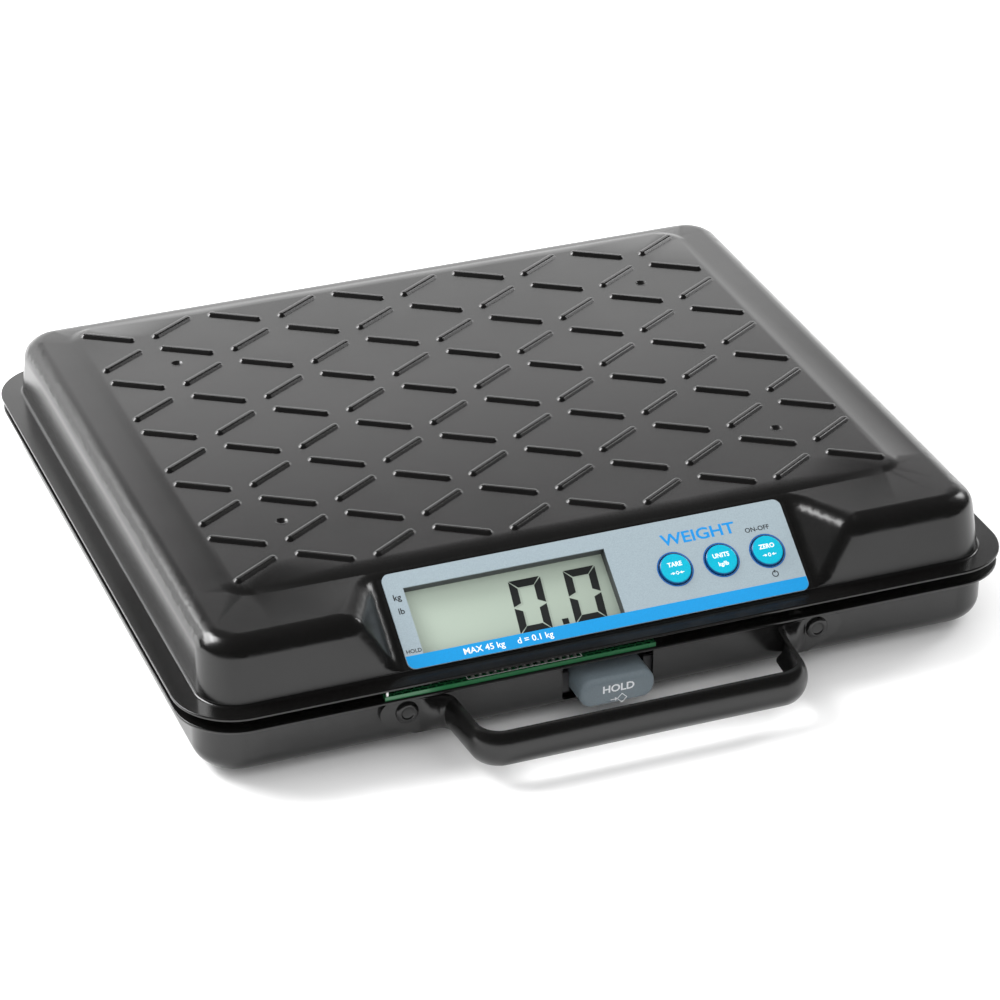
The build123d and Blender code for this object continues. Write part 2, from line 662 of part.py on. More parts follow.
for corner, (x, y) in LOAD_PLACES.items():
    with BuildPart() as cell_mount:
        with BuildSketch(level(FLOOR_Z, x, y)):
            RectangleRounded(MOUNT_SIZE, MOUNT_SIZE, 4.0)
            RectangleRounded(22, 24, 3.0, mode=Mode.SUBTRACT)
            with Locations((-CELL_SCREW_OFFSET, 0), (CELL_SCREW_OFFSET, 0)):
                Circle(1.6, mode=Mode.SUBTRACT)
        extrude(amount=MOUNT_HEIGHT)
    write(cell_mount.part, f"cell_mount_{corner}")
    with BuildPart() as load_cell:
        with BuildSketch(level(PLATE_LOW, x, y)):
            RectangleRounded(PLATE_SIZE, PLATE_SIZE, 3.0)
            # a slot round three sides leaves a tongue, which bends under the load
            with Locations((-TONGUE_HALF - 1, -1), (TONGUE_HALF + 1, -1)):
                Rectangle(2, 20, mode=Mode.SUBTRACT)
            with Locations((0, -10)):
                Rectangle(2 * TONGUE_HALF + 4, 2, mode=Mode.SUBTRACT)
            with Locations((-CELL_SCREW_OFFSET, 0), (CELL_SCREW_OFFSET, 0)):
                Circle(1.6, mode=Mode.SUBTRACT)
        extrude(amount=PLATE_THICK)
        with BuildSketch(level(PLATE_TOP, x, y + 7.0)):
            Rectangle(10, 5)
        extrude(amount=0.8)
    write(load_cell.part, f"load_cell_{corner}")

with BuildPart() as cell_screws:
    for x, y in LOAD_PLACES.values():
        for dx in (-CELL_SCREW_OFFSET, CELL_SCREW_OFFSET):
            extrude(disc(level(PLATE_TOP, x + dx, y), 2.4), amount=1.8)
            extrude(disc(level(PLATE_TOP, x + dx, y), 1.5), amount=GROUND_GAP + 0.2 - PLATE_TOP)
            with BuildSketch(level(PLATE_TOP + 1.8, x + dx, y)):
                Rectangle(3.2, 0.7)
                Rectangle(0.7, 3.2)
            extrude(amount=-0.9, mode=Mode.SUBTRACT)
write(cell_screws.part, "cell_screws")

with BuildPart() as load_buttons:
    for x, y in LOAD_PLACES.values():
        extrude(disc(level(PLATE_TOP, x, y - 1.0), 4.5), amount=BUTTON_HEIGHT, taper=10)
write(load_buttons.part, "load_buttons")

with BuildPart() as load_pads:
    for x, y in LOAD_PLACES.values():
        pad_low = PLATE_TOP + BUTTON_HEIGHT
        extrude(disc(level(pad_low, x, y - 1.0), 6.5), amount=CHANNEL_WEB_Z - pad_low)
write(load_pads.part, "load_pads")

# ---------------------------------------------------------------- HOLD button
HOLD_Z = (HOLD_LOW + HOLD_HIGH) / 2
HOLD_BACK_Y = -124.0
GUIDE_BACK_Y = -110.0
SWITCH_FACE_Y = -117.0
SPRING_OFFSET = 10.0
SPRING_RADIUS = 2.4
SPRING_PITCH = 2.6
WIRE_RADIUS = 0.3

with BuildPart() as hold_button:
    with BuildSketch(facing_front(HOLD_FRONT_Y, HOLD_X, HOLD_Z)):
        RectangleRounded(HOLD_WIDTH, HOLD_HIGH - HOLD_LOW, 5.0)
    extrude(amount=HOLD_FRONT_Y - HOLD_BACK_Y)
    fillet(hold_button.edges().group_by(Axis.Y)[0], 2.2)
    plunger = HOLD_BACK_Y - SWITCH_FACE_Y + HOLD_TRAVEL + 0.05
    extrude(disc(facing_front(HOLD_BACK_Y, HOLD_X, HOLD_Z), 2.5), amount=plunger)
write(hold_button.part, "hold_button")

# Tabs clipped to the button's sides, which stop it behind the wall
with BuildPart() as hold_retainer:
    with BuildSketch(facing_front(-130.8, HOLD_X, HOLD_Z)):
        Rectangle(SLOT_WIDTH + 4, 8.0)
        Rectangle(HOLD_WIDTH + 0.02, 8.0, mode=Mode.SUBTRACT)
    extrude(amount=-1.5)
write(hold_retainer.part, "hold_retainer")

with BuildPart() as hold_guide:
    with BuildSketch(level(FLOOR_Z, HOLD_X, y=(GUIDE_BACK_Y - 124.0) / 2)):
        Rectangle(HOLD_WIDTH + 8, 14)
    extrude(amount=2.0)
    with BuildSketch(level(FLOOR_Z + 2, HOLD_X, y=(GUIDE_BACK_Y - 124.0) / 2)):
        for side in (-1, 1):
            with Locations((side * (HOLD_WIDTH / 2 + 2.2), 0)):
                Rectangle(3.4, 14)
    extrude(amount=11.0)
    with BuildSketch(level(FLOOR_Z, HOLD_X, y=GUIDE_BACK_Y + 1)):
        Rectangle(HOLD_WIDTH + 8, 2)
    extrude(amount=13.0)
write(hold_guide.part, "hold_guide")

with BuildPart() as hold_switch:
    with BuildSketch(facing_front(GUIDE_BACK_Y - 1.6, HOLD_X, HOLD_Z)):
        Rectangle(12, 10)
    extrude(amount=-1.6)
    with BuildSketch(facing_front(SWITCH_FACE_Y + 1.6, HOLD_X, HOLD_Z)):
        Rectangle(6, 6)
    extrude(amount=SWITCH_FACE_Y + 1.6 - GUIDE_BACK_Y + 1.6)
    extrude(disc(facing_front(SWITCH_FACE_Y, HOLD_X, HOLD_Z), 1.75), amount=-1.6)
write(hold_switch.part, "hold_switch")

with BuildPart() as hold_springs:
    for side in (-1, 1):
        back = (HOLD_X + side * SPRING_OFFSET, MIDDLE_Y + GUIDE_BACK_Y - 2 * WIRE_RADIUS, HOLD_Z)
        reach = GUIDE_BACK_Y - HOLD_BACK_Y - 4 * WIRE_RADIUS
        with BuildLine() as coil:
            Helix(SPRING_PITCH, reach, SPRING_RADIUS, center=back, direction=(0, -1, 0))
        with BuildSketch(Plane(origin=coil.line @ 0, z_dir=coil.line % 0)):
            Circle(WIRE_RADIUS)
        sweep(path=coil.line, is_frenet=True)
write(hold_springs.part, "hold_springs")

# ---------------------------------------------------------------- batteries
BOX_X = BAY_X + 2 * BOX_WALL
BOX_Y = BAY_Y + 2 * BOX_WALL
BOX_ROOF_Z = 18.4
DOOR_HIGH = GROUND_GAP - 0.05
DOOR_LOW = DOOR_HIGH - DOOR_THICK
DOOR_HALF = BOX_X / 2 + 2.0
DOOR_LENGTH = BOX_Y + 3.0
DOOR_TRAVEL = 50.0
RAIL_LOW = 0.9

with BuildPart() as battery_box:
    with BuildSketch(level(GROUND_GAP, y=BATTERY_Y)):
        Rectangle(BOX_X, BOX_Y)
    extrude(amount=BOX_ROOF_Z + BOX_WALL - GROUND_GAP)
    with BuildSketch(level(FLOOR_Z, y=BATTERY_Y)):
        Rectangle(BOX_X + 8, BOX_Y + 8)
    extrude(amount=1.5)
    with BuildSketch(level(GROUND_GAP, y=BATTERY_Y)):
        Rectangle(BAY_X, BAY_Y)
    extrude(amount=BOX_ROOF_Z - GROUND_GAP, mode=Mode.SUBTRACT)
write(battery_box.part, "battery_box")

with BuildPart() as battery_door_rails:
    rail_middle = BATTERY_Y + 0.5
    with BuildSketch(level(RAIL_LOW, y=rail_middle)):
        Rectangle(2 * DOOR_HALF + 4.4, DOOR_LENGTH + 1.0)
    extrude(amount=GROUND_GAP - RAIL_LOW)
    with BuildSketch(level(DOOR_LOW - 0.1, y=rail_middle - 2.0)):
        Rectangle(2 * DOOR_HALF + 0.4, DOOR_LENGTH + 1.0)
    extrude(amount=4, mode=Mode.SUBTRACT)
    with BuildSketch(level(0, y=rail_middle - 4.0)):
        Rectangle(2 * DOOR_HALF - 4.0, DOOR_LENGTH + 4.0)
    extrude(amount=4, mode=Mode.SUBTRACT)
write(battery_door_rails.part, "battery_door_rails")

with BuildPart() as battery_door:
    with BuildSketch(level(DOOR_LOW, y=BATTERY_Y - 1.6)):
        Rectangle(2 * DOOR_HALF, DOOR_LENGTH - 1.0)
    extrude(amount=DOOR_THICK)
    for k in range(5):
        with BuildSketch(level(DOOR_LOW, y=BATTERY_Y - 24 + 2.4 * k)):
            SlotOverall(24, 1.2)
        extrude(amount=0.5, mode=Mode.SUBTRACT)
write(battery_door.part, "battery_door")

CELL_Z = GROUND_GAP + 0.1 + CELL_RADIUS
NUB = 1.3
PLATE = 0.4

for number in range(4):
    heading = 1 if number % 2 == 0 else -1
    x = (number - 1.5) * CELL_PITCH
    plus_end = BATTERY_Y + heading * (BAY_Y / 2 - PLATE - 0.1)
    with BuildPart() as aa_cell:
        shoulder = facing_front(plus_end - heading * NUB, x, CELL_Z)
        extrude(disc(shoulder, CELL_RADIUS), amount=heading * CELL_LENGTH)
        fillet(aa_cell.edges(), 0.5)
        extrude(disc(shoulder, 2.7), amount=-heading * NUB)
    write(aa_cell.part, f"aa_cell_{number + 1}")

with BuildPart() as battery_contacts:
    for number in range(4):
        heading = 1 if number % 2 == 0 else -1
        x = (number - 1.5) * CELL_PITCH
        for end in (-1, 1):
            wall = facing_front(BATTERY_Y + end * BAY_Y / 2, x, CELL_Z)
            with BuildSketch(wall):
                Rectangle(9, 9)
            extrude(amount=end * PLATE)
            if end != heading:
                extrude(disc(wall.offset(end * PLATE), 4.0), amount=end * 5.2, taper=15)
write(battery_contacts.part, "battery_contacts")

# ---------------------------------------------------------------- power jack
with BuildPart() as power_jack:
    inside = TRAY_WALL_Y - SHEET - 0.05
    with BuildSketch(facing_front(inside, JACK_X, JACK_Z)):
        RectangleRounded(12, 11, 1.0)
    extrude(amount=12)
    extrude(disc(facing_front(inside, JACK_X, JACK_Z), 4.8), amount=-SHEET - 0.8)
    extrude(disc(facing_front(inside + SHEET + 0.8, JACK_X, JACK_Z), 3.1), amount=10, mode=Mode.SUBTRACT)
    extrude(disc(facing_front(inside - 9, JACK_X, JACK_Z), 1.0), amount=-9.0)
write(power_jack.part, "power_jack")
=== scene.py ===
"""Surfaces, prints and small trim for a low steel bench scale, built around its CAD frame."""

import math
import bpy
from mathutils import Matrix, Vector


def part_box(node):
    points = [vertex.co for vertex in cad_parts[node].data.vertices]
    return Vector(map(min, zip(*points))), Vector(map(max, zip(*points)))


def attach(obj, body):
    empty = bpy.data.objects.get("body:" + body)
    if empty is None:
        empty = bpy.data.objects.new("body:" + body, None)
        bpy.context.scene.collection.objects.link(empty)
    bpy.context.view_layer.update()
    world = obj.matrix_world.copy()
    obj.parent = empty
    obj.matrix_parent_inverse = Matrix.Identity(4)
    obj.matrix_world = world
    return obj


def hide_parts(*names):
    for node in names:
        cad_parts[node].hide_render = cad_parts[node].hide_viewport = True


bl_info = {
    "name": "Bench scale finishes",
    "version": (1, 0, 0),
    "blender": (4, 5, 0),
    "location": "View3D > Sidebar > Bench scale",
    "description": "Builds the enamel, face panel, display, keys and board prints of a bench scale",
    "category": "Object",
}

import bmesh
import bpy
from mathutils import Matrix, Vector

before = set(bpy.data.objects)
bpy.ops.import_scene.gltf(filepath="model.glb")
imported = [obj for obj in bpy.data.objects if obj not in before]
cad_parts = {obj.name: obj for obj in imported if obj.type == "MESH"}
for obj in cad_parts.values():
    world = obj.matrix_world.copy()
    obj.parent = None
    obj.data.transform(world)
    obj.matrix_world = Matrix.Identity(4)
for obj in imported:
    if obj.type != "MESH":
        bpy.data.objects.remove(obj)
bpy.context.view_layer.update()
MM = 0.001

# Light of the room: on the floor and matt surfaces, and as gloss reflects it
ROOM_LIGHT = 1.25
ROOM_IN_GLOSS = 0.04
# Studio lights: name, place, width and height in metres, power in watts, the point it faces
LIGHTS = (
    ("back_wall", (0.9, 2.6, 0.8), (6.5, 1.56), 70.0, (0.9, 0.0, 0.8)),
    ("left_window", (-1.3, 0.8, 1.9), (0.9, 0.7), 22.0, (0.0, 0.0, 0.03)),
    ("right_window", (1.9, 0.5, 1.2), (0.5, 0.8), 12.0, (0.0, 0.0, 0.03)),
    ("left_floor", (-1.15, 1.0, 1.1), (1.2, 0.9), 40.0, (-0.8, 0.75, 0.0)),
)


# ---------------------------------------------------------------- places read from the frame
def facet_axes():
    """A matrix whose x runs along the face panel, y down its slope and z out of its face."""
    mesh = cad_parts["face_panel"].data
    face = max(mesh.polygons, key=lambda p: p.area if p.normal.z > 0 else 0.0)
    out = face.normal.copy()
    along = Vector((1, 0, 0))
    down = along.cross(out) * -1 if along.cross(out).z > 0 else along.cross(out)
    low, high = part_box("face_panel")
    top = max((v.co for v in mesh.vertices), key=lambda c: c.z)
    origin = Vector(((low.x + high.x) / 2, top.y, top.z))
    return Matrix(
        (
            (along.x, down.x, out.x, origin.x),
            (along.y, down.y, out.y, origin.y),
            (along.z, down.z, out.z, origin.z),
            (0, 0, 0, 1),
        )
    )


FACET = facet_axes()


def facet_span(node):
    """The lowest and highest corner of a CAD node, measured on the facet's axes."""
    turn = FACET.inverted()
    points = [turn @ v.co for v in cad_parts[node].data.vertices]
    low = Vector([min(p[k] for p in points) for k in range(3)])
    high = Vector([max(p[k] for p in points) for k in range(3)])
    return low, high


def facet_print_plane(x, down, out):
    """Where a print on the facet starts: its x to the right, its y up the slope, its z out."""
    place = FACET @ Matrix.Translation((x, down, out))
    return place @ Matrix.Diagonal((1, -1, 1, 1)) if place.determinant() < 0 else place


def level_plane(x, y, z):
    """A level place that faces up."""
    return Matrix.Translation((x, y, z))


def front_plane(x, y, z):
    """An upright place that faces forwards: its y points up and its z to the front."""
    return Matrix(((1, 0, 0, x), (0, 0, -1, y), (0, 1, 0, z), (0, 0, 0, 1)))


# ---------------------------------------------------------------- sizes and colours a user may change
def length(label, about, default):
    return bpy.props.FloatProperty(
        name=label, description=about, default=default, min=0.0, unit="LENGTH", subtype="DISTANCE"
    )


def colour(label, about, default):
    return bpy.props.FloatVectorProperty(
        name=label, description=about, default=default, min=0.0, max=1.0, size=3, subtype="COLOR"
    )


class BenchScaleSizes(bpy.types.PropertyGroup):
    """Sizes of the printed and trimmed details."""

    print_height: length("Print height", "How far ink stands above the surface it is on", 0.04 * MM)
    rivet_radius: length("Rivet radius", "Radius of the rivet heads on the handle", 4.2 * MM)
    band_height: length("Band height", "Height of the coloured band along the panel's foot", 5.1 * MM)
    stroke: length("Segment stroke", "Width of the display's segments", 2.9 * MM)


class BenchScaleColours(bpy.types.PropertyGroup):
    """Colours of the finishes."""

    enamel: colour("Enamel", "Baked enamel on the steel", (0.0036, 0.0035, 0.0034))
    film: colour("Panel film", "Printed film of the face panel", (0.29, 0.36, 0.40))
    band: colour("Band", "Coloured band along the panel's foot", (0.0, 0.26, 0.6))
    key: colour("Key cap", "Round key caps", (0.0, 0.39, 0.54))
    hold: colour("Hold key", "Large key in the front wall", (0.155, 0.195, 0.22))
    glass: colour("Display", "Reflective back of the display", (0.43, 0.505, 0.43))
    segment: colour("Segments", "Dark segments of the display", (0.018, 0.02, 0.02))
    # The board's green is darkened beyond its own colour as painted shade, for where it lies in the
    # cover's shadow.
    board: colour("Board", "Solder mask of the circuit board", (0.003, 0.045, 0.014))


def sizes():
    return bpy.context.scene.bench_scale_sizes


def colours():
    return bpy.context.scene.bench_scale_colours


# ---------------------------------------------------------------- shader groups that finishes share
def new_group(name, inputs, outputs):
    group = bpy.data.node_groups.new(name, "ShaderNodeTree")
    for label, kind, default in inputs:
        socket = group.interface.new_socket(label, in_out="INPUT", socket_type=kind)
        if default is not None:
            socket.default_value = default
    for label, kind in outputs:
        group.interface.new_socket(label, in_out="OUTPUT", socket_type=kind)
    entry = group.nodes.new("NodeGroupInput")
    leave = group.nodes.new("NodeGroupOutput")
    return group, entry, leave


def add_node(tree, kind, **values):
    node = tree.nodes.new(kind)
    for key, value in values.items():
        setattr(node, key, value)
    return node


def grain_group():
    """Fine even texture: a height for bump and a shade between 0 and 1."""
    group, entry, leave = new_group(
        "Fine grain",
        [
            ("Vector", "NodeSocketVector", None),
            ("Scale", "NodeSocketFloat", 900.0),
            ("Detail", "NodeSocketFloat", 3.0),
        ],
        [("Height", "NodeSocketFloat"), ("Shade", "NodeSocketFloat")],
    )
    noise = add_node(group, "ShaderNodeTexNoise")
    group.links.new(entry.outputs["Vector"], noise.inputs["Vector"])
    group.links.new(entry.outputs["Scale"], noise.inputs["Scale"])
    group.links.new(entry.outputs["Detail"], noise.inputs["Detail"])
    group.links.new(noise.outputs["Fac"], leave.inputs["Height"])
    spread = add_node(group, "ShaderNodeMapRange")
    spread.inputs["From Min"].default_value = 0.35
    spread.inputs["From Max"].default_value = 0.65
    group.links.new(noise.outputs["Fac"], spread.inputs["Value"])
    group.links.new(spread.outputs["Result"], leave.inputs["Shade"])
    return group


def handling_group():
    """Smudges from hands and cloths, as a roughness between two limits."""
    group, entry, leave = new_group(
        "Handling marks",
        [
            ("Vector", "NodeSocketVector", None),
            ("Scale", "NodeSocketFloat", 22.0),
            ("Cleanest", "NodeSocketFloat", 0.25),
            ("Dullest", "NodeSocketFloat", 0.4),
        ],
        [("Roughness", "NodeSocketFloat")],
    )
    broad = add_node(group, "ShaderNodeTexNoise")
    broad.inputs["Detail"].default_value = 5.0
    broad.inputs["Roughness"].default_value = 0.62
    group.links.new(entry.outputs["Vector"], broad.inputs["Vector"])
    group.links.new(entry.outputs["Scale"], broad.inputs["Scale"])
    limits = add_node(group, "ShaderNodeMapRange")
    limits.inputs["From Min"].default_value = 0.38
    limits.inputs["From Max"].default_value = 0.66
    group.links.new(broad.outputs["Fac"], limits.inputs["Value"])
    group.links.new(entry.outputs["Cleanest"], limits.inputs["To Min"])
    group.links.new(entry.outputs["Dullest"], limits.inputs["To Max"])
    group.links.new(limits.outputs["Result"], leave.inputs["Roughness"])
    return group


def dust_group():
    """A thin settled dust, thicker on faces that look up and in patches."""
    group, entry, leave = new_group(
        "Settled dust",
        [("Vector", "NodeSocketVector", None), ("Amount", "NodeSocketFloat", 0.1)],
        [("Mask", "NodeSocketFloat")],
    )
    noise = add_node(group, "ShaderNodeTexNoise")
    noise.inputs["Scale"].default_value = 60.0
    noise.inputs["Detail"].default_value = 8.0
    noise.inputs["Roughness"].default_value = 0.7
    group.links.new(entry.outputs["Vector"], noise.inputs["Vector"])
    shape = add_node(group, "ShaderNodeNewGeometry")
    parts = add_node(group, "ShaderNodeSeparateXYZ")
    group.links.new(shape.outputs["Normal"], parts.inputs["Vector"])
    upward = add_node(group, "ShaderNodeMath", operation="MAXIMUM")
    upward.inputs[1].default_value = 0.0
    group.links.new(parts.outputs["Z"], upward.inputs[0])
    patch = add_node(group, "ShaderNodeMath", operation="MULTIPLY")
    group.links.new(noise.outputs["Fac"], patch.inputs[0])
    group.links.new(upward.outputs["Value"], patch.inputs[1])
    scaled = add_node(group, "ShaderNodeMath", operation="MULTIPLY", use_clamp=True)
    group.links.new(patch.outputs["Value"], scaled.inputs[0])
    group.links.new(entry.outputs["Amount"], scaled.inputs[1])
    group.links.new(scaled.outputs["Value"], leave.inputs["Mask"])
    return group


def rubbed_edge_group():
    """Where sharp outer edges are rubbed brighter, broken up by noise."""
    group, entry, leave = new_group(
        "Rubbed edges",
        [("Vector", "NodeSocketVector", None), ("Amount", "NodeSocketFloat", 0.3)],
        [("Mask", "NodeSocketFloat")],
    )
    shape = add_node(group, "ShaderNodeNewGeometry")
    ridge = add_node(group, "ShaderNodeMapRange")
    ridge.inputs["From Min"].default_value = 0.53
    ridge.inputs["From Max"].default_value = 0.6
    group.links.new(shape.outputs["Pointiness"], ridge.inputs["Value"])
    noise = add_node(group, "ShaderNodeTexNoise")
    noise.inputs["Scale"].default_value = 350.0
    noise.inputs["Detail"].default_value = 4.0
    group.links.new(entry.outputs["Vector"], noise.inputs["Vector"])
    broken = add_node(group, "ShaderNodeMath", operation="MULTIPLY")
    group.links.new(ridge.outputs["Result"], broken.inputs[0])
    group.links.new(noise.outputs["Fac"], broken.inputs[1])
    scaled = add_node(group, "ShaderNodeMath", operation="MULTIPLY", use_clamp=True)
    group.links.new(broken.outputs["Value"], scaled.inputs[0])
    group.links.new(entry.outputs["Amount"], scaled.inputs[1])
    group.links.new(scaled.outputs["Value"], leave.inputs["Mask"])
    return group


GROUP_MAKERS = {
    "Fine grain": grain_group,
    "Handling marks": handling_group,
    "Settled dust": dust_group,
    "Rubbed edges": rubbed_edge_group,
}


def place_group(tree, name, vector, **values):
    """A shared group in a material, with this material's own values on its inputs."""
    made = bpy.data.node_groups.get(name) or GROUP_MAKERS[name]()
    node = add_node(tree, "ShaderNodeGroup", node_tree=made)
    tree.links.new(vector, node.inputs["Vector"])
    for label, value in values.items():
        node.inputs[label].default_value = value
    return node


def mixed(tree, factor, first, second):
    """A colour mix: each of first and second is a socket or three numbers."""
    mix = add_node(tree, "ShaderNodeMix", data_type="RGBA")
    tree.links.new(factor, mix.inputs[0])
    for socket, value in ((mix.inputs[6], first), (mix.inputs[7], second)):
        if isinstance(value, bpy.types.NodeSocket):
            tree.links.new(value, socket)
        else:
            socket.default_value = (*value, 1.0)
    return mix.outputs[2]


# ---------------------------------------------------------------- finishes
def finish(
    name,
    base,
    shade=None,
    clean=0.3,
    dull=0.45,
    smudge=22.0,
    grain=900.0,
    depth=0.01,
    metallic=0.0,
    dust=0.0,
    rubbed=0.0,
    rubbed_colour=(0.2, 0.2, 0.2),
    stretch=(1.0, 1.0, 1.0),
    coat=0.0,
    specular=0.5,
):
    """A surface with grain, smudges, dust and rubbed edges; the material is made once."""
    known = bpy.data.materials.get(name)
    if known:
        return known
    made = bpy.data.materials.new(name)
    made.use_nodes = True
    tree = made.node_tree
    shader = tree.nodes["Principled BSDF"]
    coords = add_node(tree, "ShaderNodeTexCoord").outputs["Object"]
    spread = add_node(tree, "ShaderNodeMapping")
    spread.inputs["Scale"].default_value = stretch
    tree.links.new(coords, spread.inputs["Vector"])
    fine = place_group(tree, "Fine grain", spread.outputs["Vector"], Scale=grain)
    tone = mixed(tree, fine.outputs["Shade"], base, shade or [c * 0.86 for c in base])
    if dust:
        layer = place_group(tree, "Settled dust", coords, Amount=dust)
        tone = mixed(tree, layer.outputs["Mask"], tone, (0.55, 0.54, 0.52))
    if rubbed:
        rim = place_group(tree, "Rubbed edges", coords, Amount=rubbed)
        tone = mixed(tree, rim.outputs["Mask"], tone, rubbed_colour)
    tree.links.new(tone, shader.inputs["Base Color"])
    marks = place_group(tree, "Handling marks", coords, Scale=smudge, Cleanest=clean, Dullest=dull)
    tree.links.new(marks.outputs["Roughness"], shader.inputs["Roughness"])
    bump = add_node(tree, "ShaderNodeBump")
    bump.inputs["Strength"].default_value = 0.6
    bump.inputs["Distance"].default_value = depth * MM
    tree.links.new(fine.outputs["Height"], bump.inputs["Height"])
    tree.links.new(bump.outputs["Normal"], shader.inputs["Normal"])
    shader.inputs["Metallic"].default_value = metallic
    shader.inputs["Coat Weight"].default_value = coat
    shader.inputs["Coat Roughness"].default_value = 0.12
    shader.inputs["Specular IOR Level"].default_value = specular
    return made


def enamel():
    return finish(
        "black_enamel",
        colours().enamel,
        clean=0.2,
        dull=0.26,
        smudge=9.0,
        grain=380.0,
        depth=0.006,
        dust=0.006,
        rubbed=0.08,
    )


def film():
    return finish(
        "panel_film", colours().film, clean=0.42, dull=0.5, grain=2600.0, depth=0.012, dust=0.03
    )


def ink(name, base):
    return finish(name, base, clean=0.4, dull=0.5, grain=3200.0, depth=0.004, specular=0.3)


def moulding(name="black_moulding", base=(0.022, 0.022, 0.024), clean=0.4, dull=0.52):
    return finish(name, base, clean=clean, dull=dull, grain=3000.0, depth=0.03, dust=0.04)


def rubber():
    return finish(
        "foot_rubber", (0.02, 0.02, 0.02), clean=0.7, dull=0.85, grain=1800.0, depth=0.05, dust=0.1
    )


def zinc():
    return finish(
        "zinc_plate",
        (0.62, 0.62, 0.58),
        shade=(0.5, 0.51, 0.5),
        clean=0.25,
        dull=0.42,
        smudge=120.0,
        grain=700.0,
        depth=0.006,
        metallic=1.0,
    )


def aluminium():
    return finish(
        "milled_aluminium",
        (0.66, 0.67, 0.68),
        clean=0.28,
        dull=0.38,
        grain=300.0,
        depth=0.006,
        metallic=1.0,
        stretch=(1.0, 22.0, 1.0),
    )


def two_tone(name, first, second, axis, limit, width=0.0002, **values):
    """A finish whose colour changes along one axis at a limit in metres."""
    if name in bpy.data.materials:
        return bpy.data.materials[name]
    made = finish(name, first, **values)
    tree = made.node_tree
    shader = tree.nodes["Principled BSDF"]
    before = shader.inputs["Base Color"].links[0].from_socket
    coords = next(n for n in tree.nodes if n.bl_idname == "ShaderNodeTexCoord").outputs["Object"]
    parts = add_node(tree, "ShaderNodeSeparateXYZ")
    tree.links.new(coords, parts.inputs["Vector"])
    step = add_node(tree, "ShaderNodeMapRange")
    step.inputs["From Min"].default_value = limit - width
    step.inputs["From Max"].default_value = limit + width
    tree.links.new(parts.outputs[axis], step.inputs["Value"])
    tree.links.new(mixed(tree, step.outputs["Result"], before, second), shader.inputs["Base Color"])
    return made


def display_back_painted_shade():
    """The reflective back of the display: pale, darker towards its right, partly its own darker active
    area and partly painted shade from the recess's right wall.
    """
    if "display_back_painted_shade" in bpy.data.materials:
        return bpy.data.materials["display_back_painted_shade"]
    base = colours().glass
    paler = [c * 0.96 for c in base]
    made = finish("display_back_painted_shade", base, shade=paler, clean=0.12, dull=0.2, grain=4000.0, depth=0.001)
    tree = made.node_tree
    shader = tree.nodes["Principled BSDF"]
    before = shader.inputs["Base Color"].links[0].from_socket
    coords = next(n for n in tree.nodes if n.bl_idname == "ShaderNodeTexCoord").outputs["Object"]
    parts = add_node(tree, "ShaderNodeSeparateXYZ")
    tree.links.new(coords, parts.inputs["Vector"])
    low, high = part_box("display_glass")
    across = add_node(tree, "ShaderNodeMapRange")
    across.inputs["From Min"].default_value = low.x
    across.inputs["From Max"].default_value = high.x
    tree.links.new(parts.outputs["X"], across.inputs["Value"])
    # Darker towards the right: partly the display's own darker active area, partly painted shade cast by
    # the recess's right wall.
    active_area_and_painted_shade = mixed(tree, across.outputs["Result"], before, [c * 0.74 for c in base])
    tree.links.new(active_area_and_painted_shade, shader.inputs["Base Color"])
    shader.inputs["Coat Weight"].default_value = 0.6
    shader.inputs["Coat Roughness"].default_value = 0.05
    return made


# ---------------------------------------------------------------- modelling helpers
def clear_selection():
    if bpy.context.mode != "OBJECT":
        bpy.ops.object.mode_set(mode="OBJECT")
    bpy.ops.object.select_all(action="DESELECT")


def make_only_active(obj):
    clear_selection()
    bpy.context.view_layer.objects.active = obj
    obj.select_set(True)


def set_finish(obj, material):
    obj.data.materials.clear()
    obj.data.materials.append(material)


def dress(node, material):
    """Gives a CAD node its finish, leaving its shape alone."""
    set_finish(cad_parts[node], material)


def settle(obj, place):
    """Moves a new mesh to its place and applies that, so that its object is at the origin."""
    obj.matrix_world = place
    make_only_active(obj)
    bpy.ops.object.transform_apply(location=True, rotation=True, scale=True)


def merge(objects, name):
    """Joins new meshes into one piece."""
    clear_selection()
    for obj in objects:
        obj.select_set(True)
    bpy.context.view_layer.objects.active = objects[0]
    if len(objects) > 1:
        bpy.ops.object.join()
    joined = bpy.context.view_layer.objects.active
    joined.name = name
    joined.data.name = name
    return joined


def publish(obj, name, body, material):
    """Names a finished piece, gives it its finish and lets it ride on its body."""
    obj.name = name
    obj.data.name = name
    set_finish(obj, material)
    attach(obj, body)
    return obj


def clean_copy(node, name, body, material, angle=32.0):
    """A CAD node's mesh with its seams closed and its rounded faces shaded as one surface."""
    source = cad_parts[node]
    mesh = source.data.copy()
    piece = bpy.data.objects.new(name, mesh)
    bpy.context.scene.collection.objects.link(piece)
    make_only_active(piece)
    bpy.ops.mesh.customdata_custom_splitnormals_clear()
    bpy.ops.object.mode_set(mode="EDIT")
    bpy.ops.mesh.select_all(action="SELECT")
    bpy.ops.mesh.remove_doubles(threshold=0.000002)
    bpy.ops.object.mode_set(mode="OBJECT")
    bpy.ops.object.shade_smooth_by_angle(angle=math.radians(angle))
    bpy.ops.object.modifier_add(type="WEIGHTED_NORMAL")
    piece.modifiers[-1].keep_sharp = True
    bpy.ops.object.modifier_apply(modifier=piece.modifiers[-1].name)
    publish(piece, name, body, material)
    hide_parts(node)
    return piece


